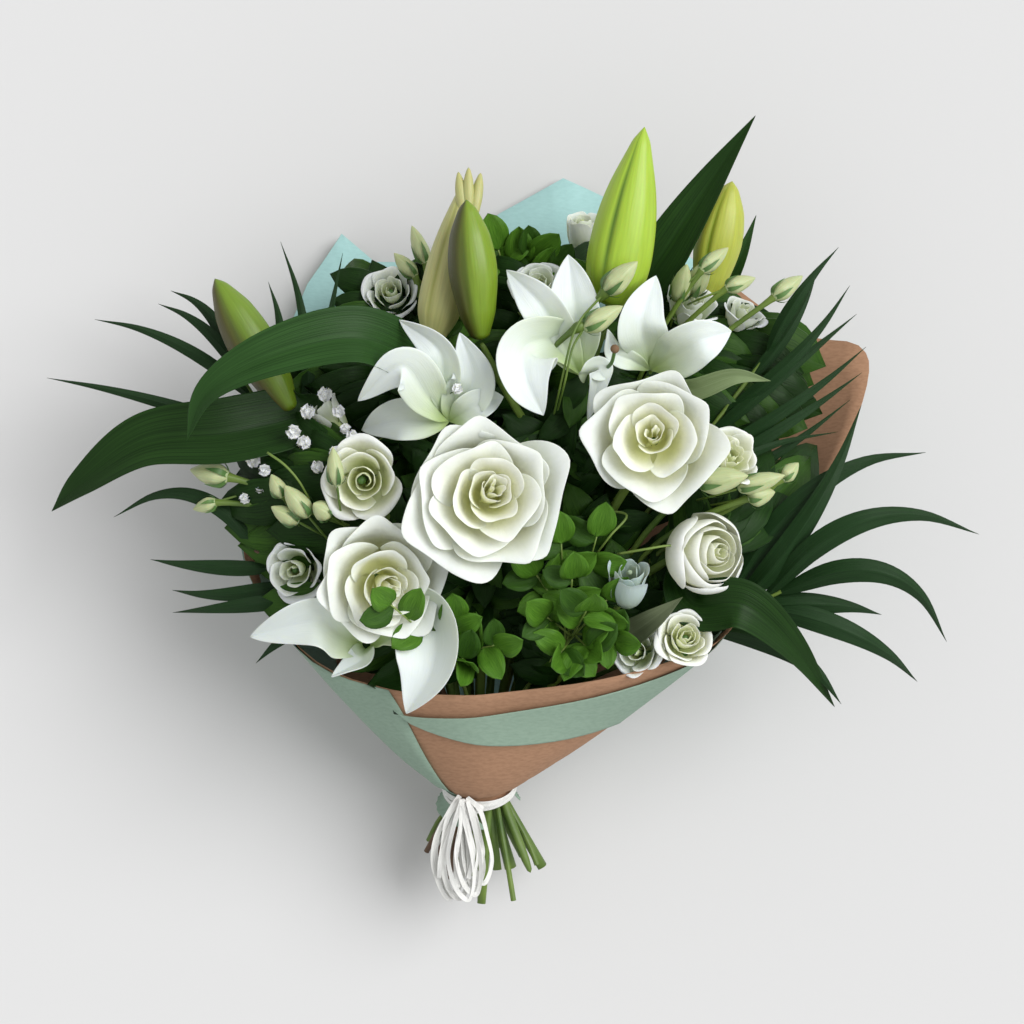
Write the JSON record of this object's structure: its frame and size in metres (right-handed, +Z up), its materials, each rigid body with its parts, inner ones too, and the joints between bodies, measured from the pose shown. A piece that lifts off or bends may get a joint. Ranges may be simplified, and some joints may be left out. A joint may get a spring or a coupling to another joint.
{
  "type": "mixed flower bouquet",
  "caption": "Mixed bouquet of white roses, lilies and lisianthus with palm fronds and small greenery, wrapped in kraft and sage paper and tied with raffia, lying on its back.",
  "frame": {"origin": "on the underside of the paper wrap, on the flat patch that the bouquet rests on, below the middle of the flowers", "axes": "+Z up, out of the flowers' faces; the cut stems point along -Y; +X across the bouquet, to the right as seen with the stems towards the viewer"},
  "size_m": [0.5296, 0.4644, 0.2043],
  "materials": {
    "petal_white": "matte",
    "lily_white": "satin",
    "bud_green": "satin",
    "leaf_dark": "satin",
    "palm": "satin",
    "leaf_light": "satin",
    "stem_green": "satin",
    "stem_brown": "matte",
    "paper_kraft": "matte",
    "paper_sage": "matte",
    "raffia": "matte"
  },
  "bodies": {
    "root": {"frond_left_low": "palm", "frond_left_up": "palm", "frond_right_low": "palm", "frond_right_up": "palm", "greenery_back": "leaf_light", "greenery_front": "leaf_light", "greenery_left": "leaf_light", "gypsophila": "leaf_light", "leaf_arched": "leaf_dark", "leaf_broad": "leaf_dark", "leaf_far_right": "leaf_dark", "leaf_low_right": "leaf_dark", "leaf_pale": "leaf_light", "leaf_rim": "leaf_light", "leaf_tall": "leaf_dark", "lily_bud_left": "bud_green", "lily_bud_middle": "bud_green", "lily_bud_pale": "bud_green", "lily_bud_right": "bud_green", "lily_bud_tall": "bud_green", "lily_left": "lily_white", "lily_low": "lily_white", "lily_middle": "lily_white", "lily_right": "lily_white", "lisianthus_back": "petal_white", "lisianthus_back_right": "petal_white", "lisianthus_bell": "petal_white", "lisianthus_cup": "petal_white", "lisianthus_far_right": "petal_white", "lisianthus_left": "petal_white", "lisianthus_low_left": "petal_white", "lisianthus_right": "petal_white", "lisianthus_rim": "petal_white", "lisianthus_rim_low": "petal_white", "lisianthus_ruffled": "petal_white", "lisianthus_top": "petal_white", "lisianthus_top_left": "petal_white", "paper_kraft": "paper_kraft", "paper_sage_back": "paper_sage", "paper_sage_band": "paper_sage", "raffia_tie": "raffia", "rose_centre": "petal_white", "rose_left": "petal_white", "rose_right": "petal_white", "stem_lily_left": "stem_green", "stem_lily_low": "stem_brown", "stem_lily_middle": "stem_green", "stem_lily_right": "stem_green", "stem_lisianthus_far_right": "stem_green", "stem_lisianthus_left": "stem_green", "stem_lisianthus_right": "stem_green", "stem_lisianthus_rim": "stem_green", "stem_lisianthus_top": "stem_green", "stem_lisianthus_top_left": "stem_green", "stem_rose_centre": "stem_green", "stem_rose_left": "stem_brown", "stem_rose_right": "stem_green"}
  },
  "joints": []
}
